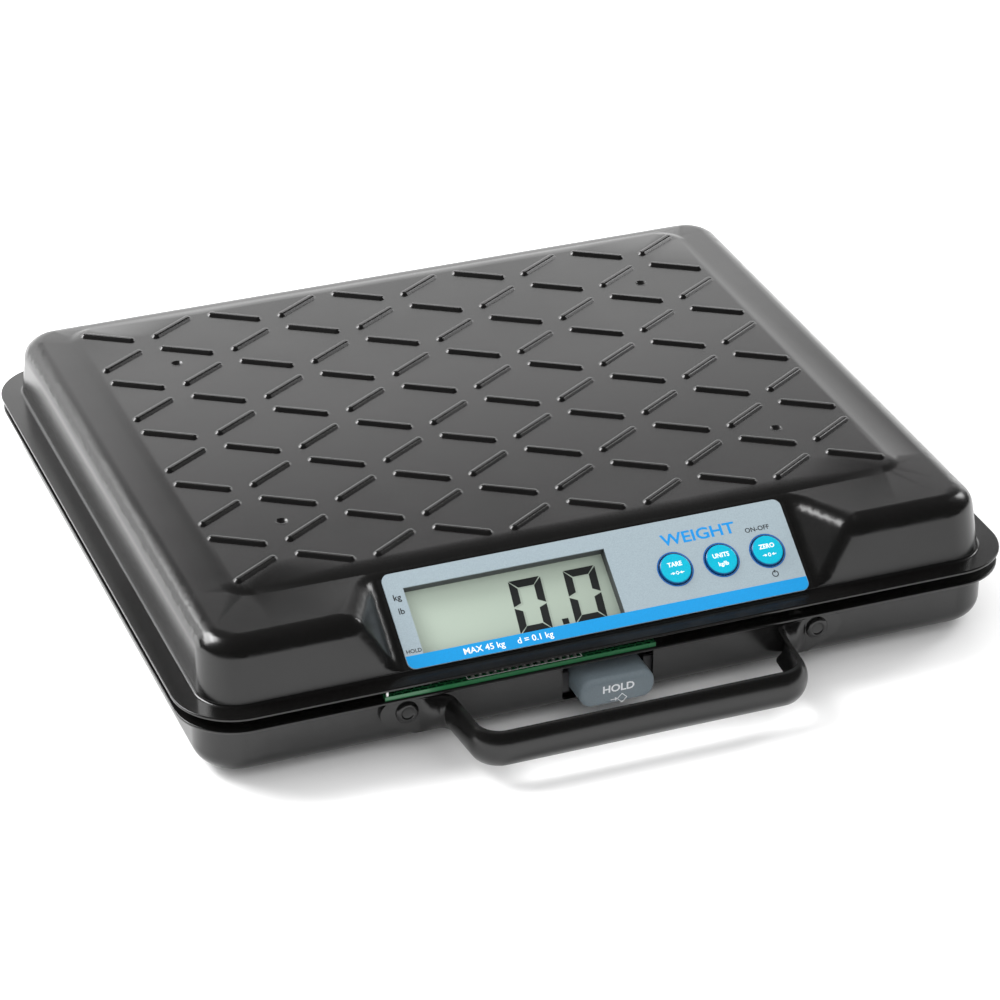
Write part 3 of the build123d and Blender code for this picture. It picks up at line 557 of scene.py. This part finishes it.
def lettering(words, size, place, boldness=0.0, width=1.0, height=None):
    """Raised ink letters, centred on their place."""
    clear_selection()
    bpy.ops.object.text_add()
    text = bpy.context.object
    text.data.body = words
    text.data.size = size
    text.data.align_x = "CENTER"
    text.data.align_y = "CENTER"
    text.data.offset = boldness * size
    text.data.extrude = (height or sizes().print_height) / 2
    text.data.resolution_u = 3
    make_only_active(text)
    bpy.ops.object.convert(target="MESH")
    settle(text, place @ Matrix.Diagonal((width, 1, 1, 1)))
    return text


def flat_shape(corners, radius, place, scale=(1.0, 1.0), turn=0.0, hollow=0.0, height=None):
    """A flat printed figure with so many corners: filled, or a line of the given width."""
    clear_selection()
    turned = (0, 0, turn)
    bpy.ops.mesh.primitive_circle_add(vertices=corners, radius=radius, fill_type="NGON", rotation=turned)
    shape = bpy.context.object
    bpy.ops.object.transform_apply(location=True, rotation=True, scale=True)
    bpy.ops.object.mode_set(mode="EDIT")
    bpy.ops.mesh.select_all(action="SELECT")
    bpy.ops.transform.resize(value=(scale[0], scale[1], 1.0))
    if hollow:
        bpy.ops.mesh.inset(thickness=hollow, depth=0.0)
        bpy.ops.mesh.delete(type="FACE")
        bpy.ops.mesh.select_all(action="SELECT")
    bpy.ops.mesh.normals_make_consistent(inside=False)
    tall = height or sizes().print_height
    bpy.ops.mesh.extrude_region_move(TRANSFORM_OT_translate={"value": (0, 0, tall)})
    bpy.ops.mesh.select_all(action="SELECT")
    bpy.ops.mesh.normals_make_consistent(inside=False)
    bpy.ops.object.mode_set(mode="OBJECT")
    settle(shape, place)
    return shape


def bar(wide, tall, place, height=None):
    """A flat printed bar, centred on its place."""
    return flat_shape(4, math.sqrt(0.5), place, scale=(wide, tall), turn=math.pi / 4, height=height)


# ---------------------------------------------------------------- pieces
class BENCHSCALE_OT_housing(bpy.types.Operator):
    """Enamelled cover, tray and handle, with domed rivets"""

    bl_idname = "benchscale.housing"
    bl_label = "Cover, tray and handle"

    def execute(self, context):
        clean_copy("top_cover", "cover_enamel", "platform", enamel())
        clean_copy("base_tray", "tray_enamel", "base", enamel())
        clean_copy("carry_handle", "handle_enamel", "base", enamel())
        low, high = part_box("handle_rivets")
        radius = sizes().rivet_radius
        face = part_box("carry_handle")[1].y - 1.5 * MM
        rise = face - low.y
        for side, x in (("left", low.x + radius), ("right", high.x - radius)):
            place = front_plane(x, face + 0.15 * MM, (low.z + high.z) / 2)
            head = self.domed_head(radius, rise)
            settle(head, place)
            bpy.ops.object.shade_smooth_by_angle(angle=math.radians(40))
            publish(head, f"rivet_head_{side}", "base", enamel())
            if side == "left":
                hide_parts("handle_rivets")
        return {"FINISHED"}

    def domed_head(self, radius, rise):
        """A rivet head that rises in steps and ends in a shallow dimple."""
        clear_selection()
        bpy.ops.mesh.primitive_circle_add(vertices=48, radius=radius, fill_type="NGON")
        head = bpy.context.object
        bpy.ops.object.mode_set(mode="EDIT")
        bpy.ops.mesh.select_all(action="SELECT")
        bpy.ops.mesh.normals_make_consistent(inside=False)
        bpy.ops.mesh.extrude_region_move(TRANSFORM_OT_translate={"value": (0, 0, 0.35 * rise)})
        dome = ((0.04, 0.2), (0.08, 0.17), (0.1, 0.11), (0.12, 0.05))
        dimple = ((0.06, 0.0), (0.05, -0.1), (0.04, -0.12), (0.06, -0.03))
        for inward, up in dome + dimple:
            bpy.ops.mesh.inset(thickness=inward * radius, depth=up * rise)
        bpy.ops.mesh.select_all(action="SELECT")
        bpy.ops.mesh.normals_make_consistent(inside=False)
        bpy.ops.object.mode_set(mode="OBJECT")
        return head


class BENCHSCALE_OT_panel(bpy.types.Operator):
    """Face panel film with its band and legends"""

    bl_idname = "benchscale.panel"
    bl_label = "Face panel"

    def execute(self, context):
        dress("face_panel", film())
        # The housing's grey moulding is darkened near to black as painted shade for the shaded walls of
        # the display's recess.
        dress("indicator_housing", moulding("housing_moulding_painted_shade", (0.045, 0.05, 0.052), 0.4, 0.5))
        low, high = facet_span("face_panel")
        self.band(low, high)
        black = [
            self.words("kg", 3.3, -73.4, 9.5),
            self.words("lb", 3.3, -73.3, 14.9),
            self.words("HOLD", 2.1, -73.3, 30.4),
            self.words("ON-OFF", 2.6, 65.0, 10.2),
            flat_shape(20, 1.25 * MM, facet_print_plane(65.9 * MM, 28.7 * MM, 0), hollow=0.32 * MM),
            bar(0.32 * MM, 1.3 * MM, facet_print_plane(65.9 * MM, 27.7 * MM, 0)),
        ]
        dark = ink("black_ink", (0.015, 0.015, 0.017))
        publish(merge(black, "black_legends"), "black_legends", "platform", dark)
        title = self.words("WEIGHT", 6.2, 42.5, 8.0, boldness=0.02, width=1.2)
        publish(title, "blue_legend", "platform", ink("blue_ink", (0.0, 0.24, 0.62)))
        return {"FINISHED"}

    def words(self, text, size, x, down, boldness=0.012, width=1.0):
        return lettering(text, size * MM, facet_print_plane(x * MM, down * MM, 0), boldness, width)

    def band(self, low, high):
        """The band: a thin coloured sheet along the panel's foot, and its white figures."""
        tall = sizes().band_height
        foot = high.y - 0.05 * MM
        middle = (low.x + high.x) / 2
        place = facet_print_plane(middle, foot - tall / 2, 0)
        strip = bar(high.x - low.x - 0.2 * MM, tall, place, sizes().print_height / 2)
        make_only_active(strip)
        bpy.ops.object.mode_set(mode="EDIT")
        mesh = bmesh.from_edit_mesh(strip.data)
        turn = FACET.inverted()
        for edge in mesh.edges:
            ends = [turn @ v.co for v in edge.verts]
            upright = abs(ends[0].z - ends[1].z) > 1e-6
            edge.select_set(upright and all(e.y > foot - tall / 4 for e in ends))
        bmesh.update_edit_mesh(strip.data)
        bpy.ops.mesh.bevel(offset=2.8 * MM, segments=6, affect="EDGES")
        bpy.ops.object.mode_set(mode="OBJECT")
        publish(strip, "panel_band", "platform", ink("band_ink", colours().band))
        figures = lettering(
            "MAX 45 kg     d = 0.1 kg",
            3.3 * MM,
            facet_print_plane(-39.2 * MM, foot - tall / 2, sizes().print_height / 2),
            0.01,
            1.02,
        )
        publish(figures, "band_figures", "platform", ink("white_ink", (0.85, 0.87, 0.88)))


class BENCHSCALE_OT_display(bpy.types.Operator):
    """Display glass and its lit segments"""

    bl_idname = "benchscale.display"
    bl_label = "Display"

    def execute(self, context):
        dress("display_glass", display_back_painted_shade())
        face = facet_span("display_glass")[1].z
        segments = []
        shadows = []
        for centre in (-25.4, -4.4):
            segments += self.zero(centre, 20.3, face)
            shadows += self.zero(centre + 0.8, 20.9, face - 0.02 * MM)
        segments.append(self.dot(-14.6, 28.9, face))
        dark = ink("segment_ink", colours().segment)
        publish(merge(segments, "segments"), "display_segments", "platform", dark)
        faint = ink("segment_shadow", [c * 0.72 for c in colours().glass])
        publish(merge(shadows, "shadows"), "display_segment_shadows", "platform", faint)
        return {"FINISHED"}

    def zero(self, x, down, face):
        """The six outer segments of one figure, mitred where they meet; the figure leans a little."""
        stroke = sizes().stroke
        wide = 12.2 * MM
        tall = 20.8 * MM
        lean = 0.07
        figure = facet_print_plane(x * MM, down * MM, face)
        made = []
        for side in (-1, 1):
            rise = side * (tall - stroke) / 2
            centre = Vector((lean * rise, rise))
            made.append(self.segment(wide, stroke, 1.0, 1.0, figure, centre, Vector((0, side))))
            outward = Vector((side, -side * lean)).normalized()
            for end in (-1, 1):
                rise = end * tall / 4
                centre = Vector((side * (wide - stroke) / 2 + lean * rise, rise))
                mitres = (1.0, 0.45) if side == end else (0.45, 1.0)
                made.append(self.segment(tall / 2, stroke, *mitres, figure, centre, outward))
        return made

    def segment(self, long, stroke, start, end, figure, centre, outward):
        """One bar whose inner side is shorter than its outer side by the two mitres."""
        gap = 0.5 * MM
        clear_selection()
        bpy.ops.mesh.primitive_plane_add(size=1.0)
        shape = bpy.context.object
        bpy.ops.object.mode_set(mode="EDIT")
        bpy.ops.mesh.select_all(action="SELECT")
        bpy.ops.transform.resize(value=(long - gap, stroke, 1.0))
        mesh = bmesh.from_edit_mesh(shape.data)
        for sign, mitre in ((-1, start), (1, end)):
            for vert in mesh.verts:
                vert.select_set(vert.co.y < 0 and vert.co.x * sign > 0)
            mesh.select_flush_mode()
            bmesh.update_edit_mesh(shape.data)
            bpy.ops.transform.translate(value=(-sign * mitre * stroke, 0, 0))
        bpy.ops.mesh.select_all(action="SELECT")
        tall = sizes().print_height
        bpy.ops.mesh.extrude_region_move(TRANSFORM_OT_translate={"value": (0, 0, tall)})
        bpy.ops.mesh.select_all(action="SELECT")
        bpy.ops.mesh.normals_make_consistent(inside=False)
        bpy.ops.object.mode_set(mode="OBJECT")
        along = Vector((outward.y, -outward.x))
        turn = Matrix(
            (
                (along.x, outward.x, 0, centre.x),
                (along.y, outward.y, 0, centre.y),
                (0, 0, 1, 0),
                (0, 0, 0, 1),
            )
        )
        settle(shape, figure @ turn)
        return shape

    def dot(self, x, down, face):
        return bar(2.4 * MM, 2.2 * MM, facet_print_plane(x * MM, down * MM, face))


class BENCHSCALE_OT_keys(bpy.types.Operator):
    """Round key caps with their legends"""

    bl_idname = "benchscale.keys"
    bl_label = "Keys"

    def execute(self, context):
        cap = self.cap_finish()
        white = ink("key_white_ink", (0.85, 0.88, 0.9))
        # Painted shade: a dark navy ring on the panel round each key's hole stands in for the shade of
        # the hole and the key's edge.
        edge = ink("key_edge_painted_shade", (0.0, 0.1, 0.36))
        for name, words in (("tare", "TARE"), ("units", "UNITS"), ("zero", "ZERO")):
            node = f"key_{name}"
            dress(node, cap)
            low, high = facet_span(node)
            x = (low.x + high.x) / 2
            down = (low.y + high.y) / 2
            top = high.z
            hole_shade_ring = flat_shape(48, 6.85 * MM, facet_print_plane(x, down, 0), hollow=0.45 * MM)
            publish(hole_shade_ring, f"key_hole_shade_ring_{name}", "platform", edge)
            place = facet_print_plane(x, down - 1.5 * MM, top - 0.01 * MM)
            marks = [lettering(words, 2.45 * MM, place, 0.025, 0.95)]
            marks += self.symbol(name, x, down + 1.9 * MM, top - 0.01 * MM)
            publish(merge(marks, "marks"), f"key_legend_{name}", f"{name}_key", white)
        return {"FINISHED"}

    def cap_finish(self):
        """Clear blue moulding, with painted shade that darkens it to navy where the cap rounds over at
        its rim.
        """
        base = colours().key
        gloss = {"clean": 0.2, "dull": 0.3, "coat": 0.12, "specular": 0.3}
        made = finish("key_cap_rim_shade", base, grain=2600.0, depth=0.006, **gloss)
        tree = made.node_tree
        shader = tree.nodes["Principled BSDF"]
        before = shader.inputs["Base Color"].links[0].from_socket
        shape = add_node(tree, "ShaderNodeNewGeometry")
        facing = add_node(tree, "ShaderNodeVectorMath", operation="DOT_PRODUCT")
        facing.inputs[1].default_value = FACET.col[2].xyz
        tree.links.new(shape.outputs["Normal"], facing.inputs[0])
        # Painted shade: the rim, where the cap's surface turns away from the facet, is darkened to navy.
        rim = add_node(tree, "ShaderNodeMapRange")
        rim.inputs["From Min"].default_value = 0.96
        rim.inputs["From Max"].default_value = 0.75
        tree.links.new(facing.outputs["Value"], rim.inputs["Value"])
        painted_rim_shade = [base[0], base[1] * 0.12, base[2] * 0.3]
        tree.links.new(mixed(tree, rim.outputs["Result"], before, painted_rim_shade), shader.inputs["Base Color"])
        return made

    def symbol(self, name, x, down, out):
        if name == "units":
            return [lettering("kg/lb", 2.2 * MM, facet_print_plane(x, down, out), 0.025, 0.95)]
        made = []
        for side in (-1, 1):
            head = facet_print_plane(x + side * 1.5 * MM, down, out)
            made.append(flat_shape(3, 0.62 * MM, head, turn=side * math.pi / 2))
            shaft = facet_print_plane(x + side * 2.2 * MM, down, out)
            made.append(bar(0.9 * MM, 0.26 * MM, shaft))
        if name == "zero":
            place = facet_print_plane(x, down, out)
            made.append(flat_shape(16, 0.75 * MM, place, scale=(0.75, 1.0), hollow=0.24 * MM))
        else:
            made.append(flat_shape(4, 0.8 * MM, facet_print_plane(x, down, out), hollow=0.22 * MM))
        return made


class BENCHSCALE_OT_hold_key(bpy.types.Operator):
    """Large key in the front wall"""

    bl_idname = "benchscale.hold_key"
    bl_label = "Hold key"

    def execute(self, context):
        satin = {"clean": 0.34, "dull": 0.42, "dust": 0.05}
        slate = finish("hold_moulding", colours().hold, grain=2400.0, depth=0.012, **satin)
        clean_copy("hold_button", "hold_key", "hold", slate, angle=50)
        low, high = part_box("hold_button")
        x = -2.2 * MM
        face = low.y + 0.01 * MM
        middle = 14.5 * MM
        marks = [lettering("HOLD", 4.1 * MM, front_plane(x, face, middle), 0.025, 1.08)]
        drop = middle - 4.5 * MM
        marks.append(flat_shape(4, 2.0 * MM, front_plane(x + 1.4 * MM, face, drop), hollow=0.26 * MM))
        marks.append(bar(2.2 * MM, 0.3 * MM, front_plane(x - 1.9 * MM, face, drop)))
        marks.append(flat_shape(3, 0.8 * MM, front_plane(x - 0.9 * MM, face, drop), turn=-math.pi / 2))
        white = ink("hold_white_ink", (0.8, 0.82, 0.84))
        publish(merge(marks, "marks"), "hold_legend", "hold", white)
        return {"FINISHED"}


class BENCHSCALE_OT_board(bpy.types.Operator):
    """Circuit board with its printed outlines, pads and pins"""

    bl_idname = "benchscale.board"
    bl_label = "Circuit board"

    def execute(self, context):
        for node in ("main_board", "edge_board"):
            dress(node, self.solder_mask())
        low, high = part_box("edge_board")
        front = low.y + 1.0 * MM
        back = front + 3.6 * MM
        left, right = -57.0 * MM, -14.0 * MM
        lines = []
        for x in (left, right):
            lines.append(bar(0.35 * MM, back - front, level_plane(x, (front + back) / 2, high.z)))
        for y in (front, back):
            lines.append(bar(right - left, 0.35 * MM, level_plane((left + right) / 2, y, high.z)))
        white = ink("board_white_ink", (0.8, 0.82, 0.8))
        publish(merge(lines, "outline"), "board_outline", "base", white)
        pads = []
        for k in range(15):
            x = left + 2.2 * MM + k * 2.75 * MM
            for y in (front + 1.1 * MM, back - 1.1 * MM):
                pads.append(self.pad(level_plane(x, y, high.z)))
        publish(merge(pads, "pads"), "board_pads", "base", zinc())
        pin = bar(0.7 * MM, 0.7 * MM, level_plane(low.x + 1.0 * MM, low.y + 0.8 * MM, high.z), 1.6 * MM)
        publish(pin, "board_pin", "base", white)
        return {"FINISHED"}

    def pad(self, place):
        """A soldered pin: a low cone of solder with the cut pin in its middle."""
        clear_selection()
        bpy.ops.mesh.primitive_circle_add(vertices=12, radius=0.85 * MM, fill_type="NGON")
        made = bpy.context.object
        bpy.ops.object.mode_set(mode="EDIT")
        bpy.ops.mesh.select_all(action="SELECT")
        for inward, up in ((0.05, 0.06), (0.2, 0.2), (0.25, 0.5), (0.05, 0.3), (0.08, 0.05)):
            bpy.ops.mesh.inset(thickness=inward * MM, depth=up * MM)
        bpy.ops.object.mode_set(mode="OBJECT")
        settle(made, place)
        bpy.ops.object.shade_smooth_by_angle(angle=math.radians(50))
        return made

    def solder_mask(self):
        """Green lacquer over copper tracks, which show as paler lines."""
        known = bpy.data.materials.get("solder_mask")
        if known:
            return known
        # The base colour carries painted shade: the board's green is darkened for the cover's shadow.
        base = colours().board
        made = finish("solder_mask", base, clean=0.18, dull=0.3, grain=1500.0, depth=0.01, coat=0.3)
        tree = made.node_tree
        shader = tree.nodes["Principled BSDF"]
        before = shader.inputs["Base Color"].links[0].from_socket
        coords = next(n for n in tree.nodes if n.bl_idname == "ShaderNodeTexCoord").outputs["Object"]
        tracks = add_node(tree, "ShaderNodeTexBrick")
        tracks.inputs["Scale"].default_value = 160.0
        tracks.inputs["Mortar Size"].default_value = 0.06
        tree.links.new(coords, tracks.inputs["Vector"])
        pale = [min(1.0, c * 2.2 + 0.01) for c in base]
        tree.links.new(mixed(tree, tracks.outputs["Fac"], before, pale), shader.inputs["Base Color"])
        return made


class BENCHSCALE_OT_underside(bpy.types.Operator):
    """Feet, battery bay, cells and power socket"""

    bl_idname = "benchscale.underside"
    bl_label = "Underside"

    def execute(self, context):
        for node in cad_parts:
            if node.startswith("rubber_foot") or node == "load_pads":
                dress(node, rubber())
        for node in ("battery_box", "battery_door_rails", "battery_door", "power_jack"):
            dress(node, moulding())
        for number in range(1, 5):
            node = f"aa_cell_{number}"
            low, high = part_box(node)
            forward = number % 2 == 1
            share = 0.72 if forward else 0.28
            limit = low.y + share * (high.y - low.y)
            sleeve, cap = (0.02, 0.02, 0.024), (0.48, 0.2, 0.06)
            first, second = (sleeve, cap) if forward else (cap, sleeve)
            name = f"cell_sleeve_{'back' if forward else 'front'}"
            gloss = {"clean": 0.16, "dull": 0.24, "coat": 0.5, "depth": 0.002}
            dress(node, two_tone(name, first, second, "Y", limit, **gloss))
        return {"FINISHED"}


class BENCHSCALE_OT_works(bpy.types.Operator):
    """Load cells, channels, switches and fasteners"""

    bl_idname = "benchscale.works"
    bl_label = "Inner works and fasteners"

    def execute(self, context):
        steel = (
            "foot_screws",
            "foot_nuts",
            "cell_screws",
            "hold_down_screws",
            "hold_down_bosses",
            "facet_studs",
            "stud_nuts",
            "board_screws",
            "load_buttons",
            "hold_springs",
            "battery_contacts",
            "channel_left",
            "channel_right",
        )
        for node in steel:
            dress(node, zinc())
        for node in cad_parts:
            if node.startswith(("cell_mount", "load_cell")):
                dress(node, aluminium())
        hold_parts = ("hold_guide", "hold_retainer", "hold_switch")
        for node in hold_parts + ("display_holder", "board_chips", "key_switches"):
            dress(node, moulding())
        strips = finish("contact_strip", (0.5, 0.12, 0.25), clean=0.6, dull=0.7, grain=1200.0, depth=0.02)
        dress("elastomer_strips", strips)
        return {"FINISHED"}


class BENCHSCALE_OT_stage(bpy.types.Operator):
    """Pale floor, soft studio lights and the camera"""

    bl_idname = "benchscale.stage"
    bl_label = "Floor, lights and camera"

    def execute(self, context):
        clear_selection()
        bpy.ops.mesh.primitive_plane_add(size=14.0)
        floor = context.object
        floor.name = "floor"
        white = bpy.data.materials.new("floor_white")
        white.use_nodes = True
        shader = white.node_tree.nodes["Principled BSDF"]
        shader.inputs["Base Color"].default_value = (0.93, 0.93, 0.93, 1)
        shader.inputs["Roughness"].default_value = 0.7
        set_finish(floor, white)
        self.world()
        for name, where, size, power, target in LIGHTS:
            self.softbox(name, where, size, power, Vector(target))
        self.camera()
        return {"FINISHED"}

    def world(self):
        world = bpy.data.worlds.new("studio")
        world.use_nodes = True
        bpy.context.scene.world = world
        tree = world.node_tree
        back = tree.nodes["Background"]
        back.inputs["Color"].default_value = (1.0, 1.0, 1.0, 1.0)
        rays = add_node(tree, "ShaderNodeLightPath")
        strength = add_node(tree, "ShaderNodeMapRange")
        strength.inputs["To Min"].default_value = ROOM_LIGHT
        strength.inputs["To Max"].default_value = ROOM_IN_GLOSS
        tree.links.new(rays.outputs["Is Glossy Ray"], strength.inputs["Value"])
        tree.links.new(strength.outputs["Result"], back.inputs["Strength"])

    def softbox(self, name, where, size, power, target):
        light = bpy.data.lights.new(name, "AREA")
        light.shape = "RECTANGLE"
        light.size, light.size_y = size
        light.energy = power
        lamp = bpy.data.objects.new(name, light)
        bpy.context.scene.collection.objects.link(lamp)
        lamp.location = where
        lamp.visible_camera = False
        lamp.rotation_euler = (target - Vector(where)).to_track_quat("-Z", "Y").to_euler()

    def camera(self):
        data = bpy.data.cameras.new("camera")
        data.lens = 135.19
        data.sensor_width = 36.0
        data.clip_start = 0.05
        data.clip_end = 50.0
        camera = bpy.data.objects.new("camera", data)
        bpy.context.scene.collection.objects.link(camera)
        where = Vector((-0.44358, -1.162575, 0.73317))
        target = Vector((-0.0035, -0.014255, 0.0305))
        camera.location = where
        camera.rotation_euler = (target - where).to_track_quat("-Z", "Y").to_euler()
        bpy.context.scene.camera = camera
        bpy.context.scene.view_settings.view_transform = "Standard"


# ---------------------------------------------------------------- add-on
STEPS = ("works", "underside", "housing", "panel", "display", "keys", "hold_key", "board", "stage")


class BENCHSCALE_PT_tools(bpy.types.Panel):
    """Lists the pieces and the values that they are built from"""

    bl_idname = "BENCHSCALE_PT_tools"
    bl_label = "Bench scale"
    bl_space_type = "VIEW_3D"
    bl_region_type = "UI"
    bl_category = "Bench scale"

    def draw(self, context):
        column = self.layout.column()
        for group in (context.scene.bench_scale_sizes, context.scene.bench_scale_colours):
            for key in type(group).__annotations__:
                column.prop(group, key)
        for step in STEPS:
            column.operator(f"benchscale.{step}")


CLASSES = (
    BenchScaleSizes,
    BenchScaleColours,
    BENCHSCALE_OT_works,
    BENCHSCALE_OT_underside,
    BENCHSCALE_OT_housing,
    BENCHSCALE_OT_panel,
    BENCHSCALE_OT_display,
    BENCHSCALE_OT_keys,
    BENCHSCALE_OT_hold_key,
    BENCHSCALE_OT_board,
    BENCHSCALE_OT_stage,
    BENCHSCALE_PT_tools,
)


def register():
    for cls in CLASSES:
        bpy.utils.register_class(cls)
    bpy.types.Scene.bench_scale_sizes = bpy.props.PointerProperty(type=BenchScaleSizes)
    bpy.types.Scene.bench_scale_colours = bpy.props.PointerProperty(type=BenchScaleColours)


def unregister():
    del bpy.types.Scene.bench_scale_colours
    del bpy.types.Scene.bench_scale_sizes
    for cls in reversed(CLASSES):
        bpy.utils.unregister_class(cls)


def main():
    register()
    for step in STEPS:
        getattr(bpy.ops.benchscale, step)()


if __name__ == "__main__":
    main()
